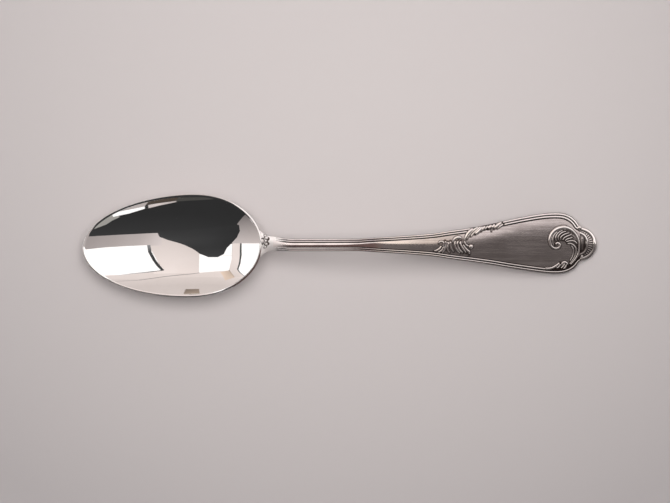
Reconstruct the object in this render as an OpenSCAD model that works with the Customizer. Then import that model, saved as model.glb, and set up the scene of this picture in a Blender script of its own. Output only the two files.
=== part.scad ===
// Teaspoon, forged in one piece: an egg-shaped bowl, a ribbed stem and a blade with a double thread
// along each edge, leaves across and beside it, a C-scroll and a shell at its end. It lies face up.
// +X runs to the handle's tip, +Y to the edge that carries the leaves, +Z up.

/* [Bowl] */
// Length of the bowl from its widest place to its tip
bowl_tip_l = 28.6; // [22:0.1:40]
// Length of the bowl from its widest place to its heel
bowl_heel_l = 19.2; // [15:0.1:28]
// Width of the bowl over its rim
bowl_w = 27.5; // [22:0.1:38]
// Depth inside the bowl, below the rim at its widest place
bowl_depth = 6.5; // [5:0.1:11]
// Thickness of the bowl's bottom
bowl_t = 1; // [0.6:0.05:1.6]
// Width of the rim's land
rim_w = 0.6; // [0.4:0.05:1]
// Height of the rim's outer edge
rim_t = 0.4; // [0.2:0.05:0.8]
// How far the rim falls from its widest place to the tip
tip_drop = 1; // [0:0.1:2]
// How far the rim rises from its widest place to the heel
heel_rise = 0.8; // [0:0.1:2]
// Angle that the bowl stands askew of the stem
bowl_skew = 1.8; // [0:0.1:4]
// How far the bowl's heel stands off the stem's line
heel_sway = 0.4; // [0:0.05:0.8]

/* [Stem] */
// Length of the neck, from the bowl's heel to the first threads
neck_l = 3; // [2:0.1:6]
// Length of the stem, from the neck to where the blade starts to widen
stem_l = 23; // [16:0.1:40]
// Width of the neck where it leaves the bowl
neck_w = 5.4; // [4.4:0.1:7]
// How far the neck leans to the leafed edge
neck_sway = 0.45; // [0:0.05:0.8]
// Width of the stem at its narrowest
stem_w = 3.36; // [3:0.02:5]
// Thickness of the stem
stem_t = 2.5; // [2:0.05:3.5]
// Slope of the neck where it leaves the bowl, in degrees
neck_pitch = 15; // [5:0.5:25]
// Height of the stem's back above the rim's heel at the top of its arch
arch_rise = 4.6; // [2:0.1:9]

/* [Blade] */
// Length of the blade, from the stem to its waist at the shell
blade_l = 58.7; // [40:0.1:80]
// Width of the blade at its widest
blade_w = 16.2; // [13:0.1:22]
// Thickness of the blade
blade_t = 1.9; // [1.5:0.05:2.6]
// Slope of the handle's tip, in degrees
tip_pitch = 3; // [0:0.5:6]
// How far the blade's end leans to the leafed edge
blade_sway = 0.46; // [0:0.02:0.8]
// Rise of the smooth panel from its edges to its middle
panel_crown = 0.3; // [0.1:0.05:0.6]
// Height of the panel's edge above the ledge that carries the threads
ledge_step = 0.2; // [0.1:0.05:0.4]
// Thickness of the handle's outer edge
edge_t = 0.7; // [0.5:0.05:0.9]

/* [Ornament] */
// Width of one thread on the stem
stem_thread_w = 0.5; // [0.35:0.01:0.6]
// Width of one thread on the blade
blade_thread_w = 0.7; // [0.4:0.01:1]
// Height of a thread above its ledge
thread_h = 0.42; // [0.2:0.02:0.6]
// Radius of a leaf's rib
leaf_r = 0.34; // [0.25:0.01:0.45]
// Radius of the C-scroll's bead
scroll_r = 0.42; // [0.3:0.01:0.55]
// Radius of the round bud beside the leaves
bud_r = 0.62; // [0.4:0.02:0.9]
// Length of the shell
shell_l = 4.5; // [3:0.1:7]
// Depth of the level cut under the handle's tip, where it rests
foot_cut = 0.3; // [0.2:0.05:0.5]
// Height of the shell's ribs
rib_h = 0.35; // [0.15:0.05:0.5]

/* [Hidden] */

// Segments around the bowl, and half the segments that the neck covers
AROUND = 64;
NECK_SPAN = round(AROUND / 21);
// Steps along the neck, the stem, the blade and the shell
NECK_STEPS = 5;
STEM_STEPS = 12;
BLADE_STEPS = 34;
SHELL_STEPS = 9;

// How far a cutting solid runs on past what it cuts
overrun = 0.2;
// Height of the ribs' middle over the ledge where they cross a thread, as a share of its height
over_thread_share = 0.7;
// How much closer the rings stand toward the blade's end, and toward the shell's end
blade_crowd_share = 1.3;
shell_crowd_share = 1.5;
// How far the neck leaf's ribs stand up over the neck, as a share of their radius
neck_leaf_lift_share = 0.35;
// Where the neck's lean has died away, as a share of its length
neck_fade_share = 2.7;
// Overall lengths that follow from the sizes above
stem_end = neck_l + stem_l;
waist = stem_end + blade_l;
handle_l = waist + shell_l;
// Height of the rim's heel and of the handle's tip above the table
widest_z = bowl_t + bowl_depth;
heel_z = widest_z + heel_rise;
tip_z = blade_t - foot_cut;
arch_z = heel_z + arch_rise;

// Rings of the bowl's inside and outside, as shares of the way from its deepest place to its rim
bowl_ring_shares = [0.12, 0.3, 0.46, 0.6, 0.72, 0.82, 0.9, 0.96];
// Roundness of the bowl's hollow: the radius of its profile's arc as a share of the half width
hollow_share = 2.5;
// Half width of the blade: its way from the stem to its widest, at shares of the blade's length
blade_w_shares = [
    [0, 0], [0.11, 0.065], [0.22, 0.13], [0.33, 0.215], [0.41, 0.325], [0.5, 0.44], [0.59, 0.575],
    [0.68, 0.74], [0.77, 0.885], [0.84, 0.975], [0.89, 1], [0.925, 0.975], [0.955, 0.88],
    [0.98, 0.71], [1, 0.47]
];
// Half width of the shell at shares of its length
shell_w_shares = [
    [0, 1], [0.18, 0.945], [0.4, 0.875], [0.6, 0.77], [0.77, 0.625], [0.9, 0.45], [0.97, 0.27], [1, 0.06]
];
// Places across a thread, with its height there
bead_shares = [[0.08, 0.5], [0.28, 0.92], [0.5, 1], [0.72, 0.92], [0.92, 0.5]];
// Places across the smooth panel
panel_shares = [0.94, 0.64, 0.32, 0, -0.32, -0.64, -0.94];
// Places across the shell: ribs where the index is odd
fan_shares = [1, 0.84, 0.7, 0.56, 0.42, 0.28, 0.14, 0, -0.14, -0.28, -0.42, -0.56, -0.7, -0.84, -1];
// Stretch of the blade where the leaves take the place of the inner thread
leafed_from_share = 0.44;
leafed_to_share = 0.68;
// Where the inner thread of the plain edge curls up to the scroll
curl_share = 0.84;

// Smooth blends and curves

function mix(a, b, t) = a + (b - a) * t;

function ease(t) = let (u = min(1, max(0, t))) u * u * (3 - 2 * u);

// Cubic through two heights with a given rise over the step at each end
function cubic(t, a, b, rise_a, rise_b) =
    (2 * t ^ 3 - 3 * t ^ 2 + 1) * a + (t ^ 3 - 2 * t ^ 2 + t) * rise_a
    + (3 * t ^ 2 - 2 * t ^ 3) * b + (t ^ 3 - t ^ 2) * rise_b;

function slope_in(table, i) =
    let (a = max(0, i - 1), b = min(len(table) - 1, i + 1))
    (table[b][1] - table[a][1]) / (table[b][0] - table[a][0]);

// Smooth curve through a table of places and values
function curve(table, t) =
    let (
        i = max([for (k = [0 : len(table) - 2]) if (k == 0 || table[k][0] <= t) k]),
        step = table[i + 1][0] - table[i][0]
    )
    cubic((t - table[i][0]) / step, table[i][1], table[i + 1][1],
        slope_in(table, i) * step, slope_in(table, i + 1) * step);

// Handle, from the bowl's heel at zero to its tip

function spine_z(x) =
    x < stem_end
    ? cubic(x / stem_end, heel_z, arch_z, stem_end * tan(neck_pitch), 0)
    : let (run = handle_l - stem_end)
      cubic((x - stem_end) / run, arch_z, tip_z, 0, -run * tan(tip_pitch));

function blade_share(x) = (x - stem_end) / blade_l;

function sway(x) =
    let (u = blade_share(x))
    blade_sway * (ease((u - 0.45) / 0.4) - ease((u - 0.92) / 0.12) / 2)
    + neck_sway * (1 - ease(x / (neck_fade_share * neck_l)));

function half_w(x) =
    x > stem_end
    ? mix(stem_w, blade_w, curve(blade_w_shares, min(1, blade_share(x)))) / 2
    : stem_w / 2 + (neck_w - stem_w) / 2 * (1 - min(1, x / stem_end)) ^ 12;

function thread_w(x) = mix(stem_thread_w, blade_thread_w, ease(blade_share(x)));

function thickness(x) = mix(stem_t, blade_t, ease(blade_share(x) * 1.6));

function ledge_z(x) = spine_z(x) - panel_crown - ledge_step;

function panel_z(x, across) = spine_z(x) - panel_crown * across ^ 2;

// Underside, cut off level where the handle's tip rests
function under_z(x, across) =
    let (belly = thickness(x) - panel_crown - ledge_step - edge_t)
    max(0, ledge_z(x) - edge_t - belly * (1 - abs(across) ^ 2.6));

// Point on the ledge, a given way in from the outline at x and square to it; side is 1 or -1
function rail(x, way_in, side) =
    let (
        d = blade_l / 1000,
        m = x > stem_end && x < waist - d ? (half_w(x + d) - half_w(x - d)) / (2 * d) : 0,
        unit = sqrt(1 + m ^ 2),
        at = x + way_in * m / unit
    )
    [at, side * (half_w(x) - way_in / unit) + sway(at), ledge_z(at)];

// Point over the ledge at a share of the way across a thread, between two rails
function bead_point(x, first, across, side) =
    let (p = rail(x, (first + across[0]) * thread_w(x), side))
    p + [0, 0, thread_h * across[1]];

function top_row(x) =
    let (
        inner = rail(x, 2 * thread_w(x), 1),
        at = inner[0],
        wi = inner[1] - sway(at)
    )
    concat(
        [rail(x, 0, 1), rail(x, thread_w(x), 1), inner],
        [for (f = panel_shares) [at, f * wi + sway(at), panel_z(at, f)]],
        [rail(x, 2 * thread_w(x), -1), rail(x, thread_w(x), -1), rail(x, 0, -1)]
    );

function bottom_row(x) =
    [for (p = top_row(x)) [p[0], p[1], under_z(p[0], min(1, abs(p[1] - sway(p[0])) / half_w(x)))]];

// Steps from a to b, closer together towards b where tight is over 1
function steps(a, b, n, tight = 1) = [for (i = [0 : n]) mix(a, b, 1 - (1 - i / n) ^ tight)];

blade_x = steps(stem_end, waist, BLADE_STEPS, blade_crowd_share);
stem_x = steps(neck_l, stem_end, STEM_STEPS);

// Solid between rings of equal count. Each run is a list of rings, and each ring turns clockwise as
// seen from the bowl. An end face is a fan, or a ladder between the ring's upper and lower row.
module skin(runs, fan = false) {
    n = len(runs[0][0]);
    start = [for (r = 0, sum = 0; r < len(runs); sum = sum + n * len(runs[r]), r = r + 1) sum];
    near_end = fan
        ? [for (i = [1 : n - 2]) [0, i, i + 1]]
        : [
            for (i = [0 : n / 2 - 2]) let (c = n - 2 - i, d = n - 1 - i)
                each [[i, i + 1, c], [i, c, d]]
        ];
    faces = [
        for (r = [0 : len(runs) - 1])
            let (first = start[r], last = start[r] + n * (len(runs[r]) - 1))
            each concat(
                [for (f = near_end) [f[0] + first, f[1] + first, f[2] + first]],
                [for (f = near_end) [f[0] + last, f[2] + last, f[1] + last]],
                [
                    for (k = [0 : len(runs[r]) - 2], i = [0 : n - 1])
                        let (a = first + k * n + i, b = first + k * n + (i + 1) % n)
                        each [[a, a + n, b + n], [a, b + n, b]]
                ]
            )
    ];
    polyhedron(points = [for (run = runs, ring = run) each ring], faces = faces);
}

function reversed(row) = [for (i = [len(row) - 1 : -1 : 0]) row[i]];

function core_ring(x) = concat(top_row(x), reversed(bottom_row(x)));

module core(places) {
    skin([[for (x = places) core_ring(x)]]);
}

// One thread: first is 0 for the outer one and 1 for the inner one; sink runs its foot on downwards
function thread_ring(x, first, side, sink) =
    let (
        w = thread_w(x),
        a = rail(x, first * w, side),
        b = rail(x, (first + 1) * w, side),
        foot = sink > 0 ? [[0, 0, sink]] : [],
        ring = concat(
            [for (f = foot) a - f],
            [a],
            [for (s = bead_shares) bead_point(x, first, s, side)],
            [b],
            [for (f = foot) b - f]
        )
    )
    side > 0 ? ring : reversed(ring);

module thread(runs, first, side, sink = 0) {
    skin([for (places = runs) [for (x = places) thread_ring(x, first, side, sink)]], fan = true);
}

// Bowl

function turn(i) = 360 * i / AROUND;

function rim_z(i) =
    let (c = cos(turn(i)))
    widest_z + (c > 0 ? heel_rise : -tip_drop) * c ^ 2;

// Point of the bowl at a share of the way from its deepest place to an outline drawn in from the rim
function bowl_point(i, share, inset, z = 0) =
    let (
        c = cos(turn(i)),
        out = [(c > 0 ? bowl_heel_l : bowl_tip_l) * c, bowl_w / 2 * sin(turn(i))],
        flat = share * out * (1 - inset / norm(out)) - [bowl_heel_l, 0],
        x = flat[0] * cos(bowl_skew) - flat[1] * sin(bowl_skew),
        y = flat[0] * sin(bowl_skew) + flat[1] * cos(bowl_skew) + heel_sway
    )
    [x, y, z];

function hollow(share) =
    (hollow_share - sqrt(hollow_share ^ 2 - share ^ 2))
    / (hollow_share - sqrt(hollow_share ^ 2 - 1));

// Height of the underside as a share of the rim's, level inside the first ring
function belly(share) =
    let (foot = hollow(bowl_ring_shares[0]))
    max(0, hollow(share) - foot) / (1 - foot);

// Places down one meridian: inside from the first ring out, over the rim, and outside back in
function meridian(i) = concat(
    [for (s = bowl_ring_shares) bowl_point(i, s, rim_w, mix(bowl_t, rim_z(i), hollow(s)))],
    [bowl_point(i, 1, rim_w, rim_z(i)), bowl_point(i, 1, 0, rim_z(i))],
    [bowl_point(i, 1, 0, rim_z(i) - rim_t)],
    [for (s = reversed(bowl_ring_shares)) bowl_point(i, s, 0, (rim_z(i) - rim_t) * belly(s))]
);

module bowl_block() {
    m = len(meridian(0));
    inside = AROUND * m;
    under = inside + 1;
    faces = [
        for (i = [0 : AROUND - 1])
            let (a = i * m, b = (i + 1) % AROUND * m)
            each concat(
                [[inside, b, a], [under, a + m - 1, b + m - 1]],
                [for (j = [0 : m - 2]) each [[a + j, b + j, b + j + 1], [a + j, b + j + 1, a + j + 1]]]
            )
    ];
    polyhedron(
        points = concat(
            [for (i = [0 : AROUND - 1]) each meridian(i)],
            [bowl_point(0, 0, 0, bowl_t), bowl_point(0, 0, 0)]
        ),
        faces = faces
    );
}

module bowl() {
    color("gainsboro") placed() bowl_block();
}

// Neck: its root covers the same facets of the bowl's rim and underside that it meets

RIM_ROW = len(bowl_ring_shares) + 1;
NECK_ROWS = 4;
NECK_COLS = 2 * NECK_SPAN + 1;
neck_edge = concat(
    [for (a = [0 : NECK_COLS - 1]) [a, 0]],
    [for (b = [1 : NECK_ROWS - 2]) [NECK_COLS - 1, b]],
    [for (a = [NECK_COLS - 1 : -1 : 0]) [a, NECK_ROWS - 1]],
    [for (b = [NECK_ROWS - 2 : -1 : 1]) [0, b]]
);

function neck_root(a, b) =
    let (i = (NECK_SPAN - a + AROUND) % AROUND)
    meridian(i)[RIM_ROW + b];

function neck_end(a, b) =
    let (f = 1 - a / NECK_SPAN)
    [
        neck_l, f * half_w(neck_l) + sway(neck_l),
        mix(spine_z(neck_l) - (panel_crown + ledge_step) * f ^ 2,
            under_z(neck_l, abs(f)), b / (NECK_ROWS - 1))
    ];

// The root's flare dies away quickly along the neck
function neck_place(a, b, t) =
    let (
        p = neck_root(a, b),
        q = neck_end(a, b),
        quick = 1 - (1 - t) ^ 2.6,
        top = spine_z(max(0, mix(p[0], q[0], t))) - (panel_crown + ledge_step) * (1 - a / NECK_SPAN) ^ 2
    )
    t == 0 ? p : [
        mix(p[0], q[0], t),
        mix(p[1], q[1], quick),
        b == 0 ? mix(mix(p[2], q[2], t), top, t) : mix(p[2], q[2], 1 - (1 - t) ^ 1.8)
    ];

module neck_block() {
    cells = NECK_ROWS * NECK_COLS;
    n = len(neck_edge);
    points = concat(
        [for (b = [0 : NECK_ROWS - 1], a = [0 : NECK_COLS - 1]) neck_root(a, b)],
        [for (b = [0 : NECK_ROWS - 1], a = [0 : NECK_COLS - 1]) neck_end(a, b)],
        [for (k = [1 : NECK_STEPS - 1], e = neck_edge) neck_place(e[0], e[1], k / NECK_STEPS)]
    );
    index = function (k, q)
        let (e = neck_edge[q % n], cell = e[1] * NECK_COLS + e[0])
        k == 0 ? cell : k == NECK_STEPS ? cells + cell : 2 * cells + (k - 1) * n + q % n;
    ends = [
        for (b = [0 : NECK_ROWS - 2], a = [0 : NECK_COLS - 2])
            let (c = b * NECK_COLS + a, d = c + NECK_COLS)
            each [
                [c, c + 1, d + 1], [c, d + 1, d],
                [c + cells, d + 1 + cells, c + 1 + cells], [c + cells, d + cells, d + 1 + cells]
            ]
    ];
    sides = [
        for (k = [0 : NECK_STEPS - 1], q = [0 : n - 1])
            each [
                [index(k, q), index(k + 1, q), index(k + 1, q + 1)],
                [index(k, q), index(k + 1, q + 1), index(k, q + 1)]
            ]
    ];
    polyhedron(points = points, faces = concat(ends, sides));
}

module neck() {
    color("silver") placed() neck_block();
}

// Stem, blade and their threads

all_x = concat(stem_x, [for (i = [1 : BLADE_STEPS]) blade_x[i]]);

module stem() {
    color("silver") placed() core(stem_x);
}

module blade() {
    color("darkgray") placed() core(blade_x);
}

function up_to(share) = [for (x = all_x) if (x <= stem_end + share * blade_l) x];

function from(share) = [for (x = all_x) if (x >= stem_end + share * blade_l) x];

module outer_thread_leafed() {
    color("white") placed() thread([all_x], 0, 1);
}

module inner_thread_leafed() {
    color("white") placed() thread([up_to(leafed_from_share), from(leafed_to_share)], 1, 1);
}

module outer_thread_plain() {
    color("white") placed() thread([all_x], 0, -1);
}

module inner_thread_plain() {
    color("white") placed() thread([up_to(curl_share)], 1, -1);
}

// Shell at the handle's end

function shell_ring(x) =
    let (
        t = (x - waist) / shell_l,
        w = half_w(waist) * curve(shell_w_shares, t),
        rise = rib_h * sin(180 * min(1, 0.15 + t * 0.8)),
        top = [
            for (i = [0 : len(fan_shares) - 1])
                let (f = fan_shares[i])
                [x, f * w + sway(x), panel_z(x, f) - ledge_step * abs(f) + (i % 2) * rise]
        ]
    )
    concat(top, [for (f = reversed(fan_shares)) [x, f * w + sway(x), under_z(x, abs(f))]]);

module shell_body() {
    skin([[for (x = steps(waist, handle_l, SHELL_STEPS, shell_crowd_share)) shell_ring(x)]]);
}

module end_shell() {
    color("gainsboro") placed() shell_body();
}

// Ornament: tapered ribs that lie on the blade, cut off where they meet what carries them

// Places on the blade as shares: [along the blade, across its half width there, share of the rib's radius]
cross_leaf_shares = [
    [[0.34, 0.05, 0.5], [0.355, 0.3, 0.8], [0.372, 0.22, 0.9], [0.374, -0.05, 0.6]],
    [[0.33, -0.5, 0.4], [0.36, -0.12, 0.9], [0.385, 0.22, 1], [0.4, 0.36, 0.6]],
    [[0.353, -0.55, 0.4], [0.375, -0.2, 0.9], [0.397, 0.1, 1], [0.41, 0.24, 0.6]],
    [[0.376, -0.52, 0.5], [0.386, -0.2, 0.9], [0.396, 0, 0.8]],
    [[0.41, 0.24, 0.7], [0.414, -0.1, 1], [0.425, -0.38, 0.9], [0.436, -0.52, 0.5]],
    [[0.424, 0.3, 0.9], [0.432, 0.43, 1.5], [0.446, 0.47, 1.7], [0.458, 0.38, 1.1]],
    [[0.441, 0.27, 0.8], [0.447, -0.05, 1], [0.457, -0.34, 0.9], [0.47, -0.54, 0.6]],
    [[0.459, 0.2, 0.8], [0.464, -0.08, 1], [0.478, -0.33, 1], [0.494, -0.46, 1.3]]
];
bud_stem_shares = [
    [0.478, 0.33, 0.8], [0.47, 0.2, 1], [0.472, 0, 1], [0.482, -0.1, 0.9], [0.497, -0.09, 0.7]
];
bud_share = [0.508, -0.09];
edge_leaf_shares = [
    [[0.474, 0.34, 0.7], [0.479, 0.56, 1.1], [0.494, 0.8, 1.2], [0.518, 0.93, 0.9]],
    [[0.487, 0.24, 0.6], [0.496, 0.58, 1], [0.514, 0.82, 1.2], [0.536, 0.93, 0.9]],
    [[0.505, 0.34, 0.6], [0.515, 0.62, 1], [0.53, 0.84, 1.1], [0.548, 0.93, 0.9]],
    [[0.526, 0.42, 0.7], [0.533, 0.66, 1], [0.546, 0.86, 1], [0.562, 0.93, 0.9]],
    [[0.545, 0.56, 0.8], [0.556, 0.78, 1.1], [0.574, 0.93, 0.9]],
    [[0.579, 0.6, 0.7], [0.588, 0.8, 1.1], [0.606, 0.93, 0.9]],
    [[0.594, 0.61, 0.7], [0.605, 0.82, 1.1], [0.625, 0.93, 0.9]],
    [[0.609, 0.66, 0.7], [0.622, 0.84, 1.1], [0.645, 0.94, 0.9]],
    [[0.627, 0.72, 0.6], [0.645, 0.86, 1], [0.676, 0.94, 0.8]]
];
// Places on the blade's end, where the second number is a share of half the blade's own width
c_scroll_shares = [
    [0.906, -0.06, 1.5], [0.895, -0.13, 1.2], [0.88, -0.13, 1], [0.868, -0.03, 1], [0.864, 0.12, 1],
    [0.87, 0.28, 1.1], [0.888, 0.42, 1.2], [0.913, 0.505, 1.3], [0.94, 0.505, 1.2],
    [0.964, 0.41, 1], [0.98, 0.27, 1], [0.988, 0.1, 0.9], [0.989, -0.1, 0.9],
    [0.984, -0.3, 0.9], [0.972, -0.48, 0.9], [0.955, -0.62, 0.9], [0.938, -0.72, 0.6]
];
scroll_leaf_shares = [
    [[0.892, -0.01, 0.7], [0.888, 0.14, 1.3], [0.898, 0.3, 1.3], [0.918, 0.4, 0.8]],
    [[0.91, 0.02, 0.6], [0.912, 0.18, 1.2], [0.926, 0.33, 1.1], [0.945, 0.4, 0.7]],
    [[0.926, 0.09, 0.6], [0.938, 0.22, 1.1], [0.956, 0.3, 0.8]],
    [[0.934, 0, 0.9], [0.95, 0.1, 1.1], [0.966, 0.16, 0.8]],
    [[0.94, -0.05, 0.8], [0.958, -0.02, 1], [0.968, -0.16, 0.9], [0.968, -0.34, 0.8], [0.952, -0.53, 0.6]]
];
scroll_foot_shares = [
    [[0.838, -0.83, 0.9], [0.862, -0.84, 1], [0.885, -0.77, 1], [0.908, -0.62, 0.8]],
    [[0.908, -0.62, 0.8], [0.916, -0.66, 1.1], [0.93, -0.62, 1.4], [0.944, -0.7, 0.9]]
];
// Places on the neck: along it, and across its half width at the root
neck_leaf_shares = [
    [[0.62, 0.05, 0.7], [0.2, 0.38, 1.1], [-0.12, 0.6, 1.3], [-0.24, 0.5, 0.8]],
    [[0.62, 0, 0.7], [0.15, 0.1, 1.2], [-0.2, 0.14, 1.4], [-0.34, 0.14, 0.8]],
    [[0.62, -0.05, 0.7], [0.2, -0.2, 1.1], [-0.1, -0.36, 1.3], [-0.22, -0.3, 0.8]],
    [[0.74, 0.34, 0.6], [0.66, 0.12, 0.9], [0.66, -0.12, 0.9], [0.74, -0.34, 0.6]]
];

function relief_z(x, across) =
    across < 1 ? panel_z(x, across) : ledge_z(x) + over_thread_share * thread_h;

function on_blade(s) =
    let (
        x = stem_end + s[0] * blade_l,
        inner = half_w(x) - 2 * thread_w(x),
        across = abs(s[1]) * half_w(x) / inner
    )
    [x, s[1] * half_w(x) + sway(x), relief_z(x, across)];

function on_end(s) =
    let (
        x = stem_end + s[0] * blade_l,
        y = s[1] * blade_w / 2,
        across = abs(y) / (half_w(x) - 2 * thread_w(x))
    )
    [x, y + sway(x), relief_z(x, across)];

function on_neck(s) =
    let (x = s[0] * neck_l)
    [x, s[1] * neck_w / 2 + sway(x), spine_z(max(0, x)) + neck_leaf_lift_share * leaf_r];

// Rib through given places, as round as its radius, with a piece count for each stretch
module rib(places, radii, pieces) {
    last = len(places) - 1;
    table = function (k) [for (i = [0 : last]) [i, k < 3 ? places[i][k] : radii[i]]];
    way = [for (j = [0 : last * pieces]) j / pieces];
    ball = [for (t = way) [for (k = [0 : 3]) curve(table(k), min(t, last - 0.0001))]];
    for (j = [1 : len(ball) - 1]) {
        hull() {
            translate([ball[j - 1][0], ball[j - 1][1], ball[j - 1][2]]) sphere(r = ball[j - 1][3], $fn = 8);
            translate([ball[j][0], ball[j][1], ball[j][2]]) sphere(r = ball[j][3], $fn = 8);
        }
    }
}

module blade_rib(shares, r) {
    rib([for (s = shares) on_blade(s)], [for (s = shares) s[2] * r], 2);
}

module end_rib(shares, r) {
    rib([for (s = shares) on_end(s)], [for (s = shares) s[2] * r], 2);
}

module cross_leaf_ribs() {
    for (s = cross_leaf_shares) blade_rib(s, leaf_r);
}

module c_scroll_rib() {
    end_rib(c_scroll_shares, scroll_r);
}

// What the leaves and the scroll lie on, with the threads run on into the blade so that they cut as one
module leafed_carrier() {
    core(blade_x);
    thread([all_x], 0, 1, overrun);
    thread([up_to(leafed_from_share), from(leafed_to_share)], 1, 1, overrun);
}

module plain_carrier() {
    thread([all_x], 0, -1, overrun);
    thread([up_to(curl_share)], 1, -1, overrun);
    shell_body();
}

module cross_leaves() {
    color("white") placed() difference() {
        cross_leaf_ribs();
        leafed_carrier();
    }
}

module leaf_bud() {
    color("white") placed() difference() {
        union() {
            blade_rib(bud_stem_shares, leaf_r);
            translate(on_blade(bud_share)) sphere(r = bud_r, $fn = 16);
        }
        leafed_carrier();
        cross_leaf_ribs();
    }
}

module edge_leaves() {
    color("white") placed() difference() {
        for (s = edge_leaf_shares) blade_rib(s, leaf_r);
        leafed_carrier();
        cross_leaf_ribs();
        blade_rib(bud_stem_shares, leaf_r);
    }
}

module c_scroll() {
    color("white") placed() difference() {
        c_scroll_rib();
        leafed_carrier();
        plain_carrier();
    }
}

module scroll_leaves() {
    color("gainsboro") placed() difference() {
        for (s = scroll_leaf_shares) end_rib(s, scroll_r);
        leafed_carrier();
        plain_carrier();
        c_scroll_rib();
    }
}

module scroll_foot() {
    color("white") placed() difference() {
        for (s = scroll_foot_shares) end_rib(s, scroll_r);
        leafed_carrier();
        plain_carrier();
        c_scroll_rib();
    }
}

module neck_leaf() {
    color("white") placed() difference() {
        for (s = neck_leaf_shares) {
            rib([for (p = s) on_neck(p)], [for (p = s) p[2] * leaf_r], 2);
        }
        neck_block();
        bowl_block();
    }
}

// Moves everything so that the middle of the whole spoon's plan is the origin
module placed() {
    outline = [for (i = [0 : AROUND - 1]) bowl_point(i, 1, 0)];
    low_x = min([for (p = outline) p[0]]);
    low_y = min([for (p = outline) p[1]]);
    high_y = max([for (p = outline) p[1]]);
    translate([-(low_x + handle_l) / 2, -(low_y + high_y) / 2, 0]) children();
}

bowl();
neck();
neck_leaf();
stem();
blade();
outer_thread_leafed();
inner_thread_leafed();
outer_thread_plain();
inner_thread_plain();
cross_leaves();
leaf_bud();
edge_leaves();
c_scroll();
scroll_leaves();
scroll_foot();
end_shell();
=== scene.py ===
import math

import bpy
import numpy as np
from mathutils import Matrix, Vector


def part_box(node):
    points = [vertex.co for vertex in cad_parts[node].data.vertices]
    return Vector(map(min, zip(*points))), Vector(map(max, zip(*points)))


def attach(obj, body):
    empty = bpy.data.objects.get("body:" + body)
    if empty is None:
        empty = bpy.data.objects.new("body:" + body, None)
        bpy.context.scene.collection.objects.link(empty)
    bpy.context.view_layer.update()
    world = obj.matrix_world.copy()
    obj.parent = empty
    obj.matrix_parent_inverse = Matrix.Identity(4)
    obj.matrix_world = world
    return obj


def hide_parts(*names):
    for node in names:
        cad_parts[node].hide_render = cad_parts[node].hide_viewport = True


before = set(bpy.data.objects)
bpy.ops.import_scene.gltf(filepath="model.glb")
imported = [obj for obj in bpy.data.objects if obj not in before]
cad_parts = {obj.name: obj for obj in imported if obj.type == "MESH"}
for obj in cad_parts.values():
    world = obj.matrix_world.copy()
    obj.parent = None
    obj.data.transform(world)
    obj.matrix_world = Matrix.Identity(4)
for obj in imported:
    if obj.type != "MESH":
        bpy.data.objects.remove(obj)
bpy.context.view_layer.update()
print("frame loaded")

mm = 0.001


# Shared curves

def mix(a, b, t):
    return a + (b - a) * t


def ease(t):  # level at zero and at one, smooth between
    u = np.clip(t, 0.0, 1.0)
    return u * u * (3 - 2 * u)


def ramp(t, start, span):  # zero up to the start, one past the span
    return ease((t - start) / span)


def cubicStep(t, a, b, riseA, riseB):  # from one value to another, with the rise over a whole step at each
    return (
        (2 * t**3 - 3 * t**2 + 1) * a + (t**3 - 2 * t**2 + t) * riseA
        + (3 * t**2 - 2 * t**3) * b + (t**3 - t**2) * riseB
    )


# Smooth curve through a table: the slope at each place is that from its neighbour before to the one after
def smoothCurve(places, values, t):
    places = np.asarray(places, float)
    values = np.asarray(values, float).reshape(len(places), -1)
    index = np.arange(len(places))
    before, after = np.maximum(index - 1, 0), np.minimum(index + 1, len(places) - 1)
    slopes = (values[after] - values[before]) / (places[after] - places[before])[:, None]
    t = np.asarray(t, float)
    k = np.clip(np.searchsorted(places, t, side="right") - 1, 0, len(places) - 2)
    step = (places[k + 1] - places[k])[..., None]
    u = (t - places[k])[..., None] / step
    return cubicStep(u, values[k], values[k + 1], slopes[k] * step, slopes[k + 1] * step)


def curveOf(table, t):  # the same for a table of pairs, one value out
    pairs = np.asarray(table, float)
    return smoothCurve(pairs[:, 0], pairs[:, 1], t)[..., 0]


def alongPath(count, steps):  # places on a path of that many points, with steps from each point to the next
    return np.linspace(0, count - 1, (count - 1) * steps + 1)


# Handle: lengths in millimetres along x from the bowl's heel, as the frame has them

handle = {
    "neckLength": 3.0, "neckWidth": 5.4, "neckPitch": 15.0, "neckSway": 0.45, "neckFade": 2.7,
    "stemLength": 23.0, "stemWidth": 3.36, "stemThickness": 2.5, "flarePower": 12, "archRise": 4.6,
    "bladeLength": 58.7, "bladeWidth": 16.2, "bladeThickness": 1.9, "thinning": 1.6, "bellyPower": 2.6,
    "bladeSway": 0.46, "leanOut": (0.45, 0.4), "leanBack": (0.92, 0.12), "tipPitch": 3.0,
    "panelCrown": 0.3, "ledgeStep": 0.2, "edgeThickness": 0.7, "grooveFade": 4.5,
    "stemThreadWidth": 0.5, "bladeThreadWidth": 0.7, "threadHeight": 0.42, "shellLength": 4.5,
    "footCut": 0.3,
    "bladeShares": [
        (0, 0), (0.11, 0.065), (0.22, 0.13), (0.33, 0.215), (0.41, 0.325), (0.5, 0.44), (0.59, 0.575),
        (0.68, 0.74), (0.77, 0.885), (0.84, 0.975), (0.89, 1), (0.925, 0.975), (0.955, 0.88),
        (0.98, 0.71), (1, 0.47),
    ],
}
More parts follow.
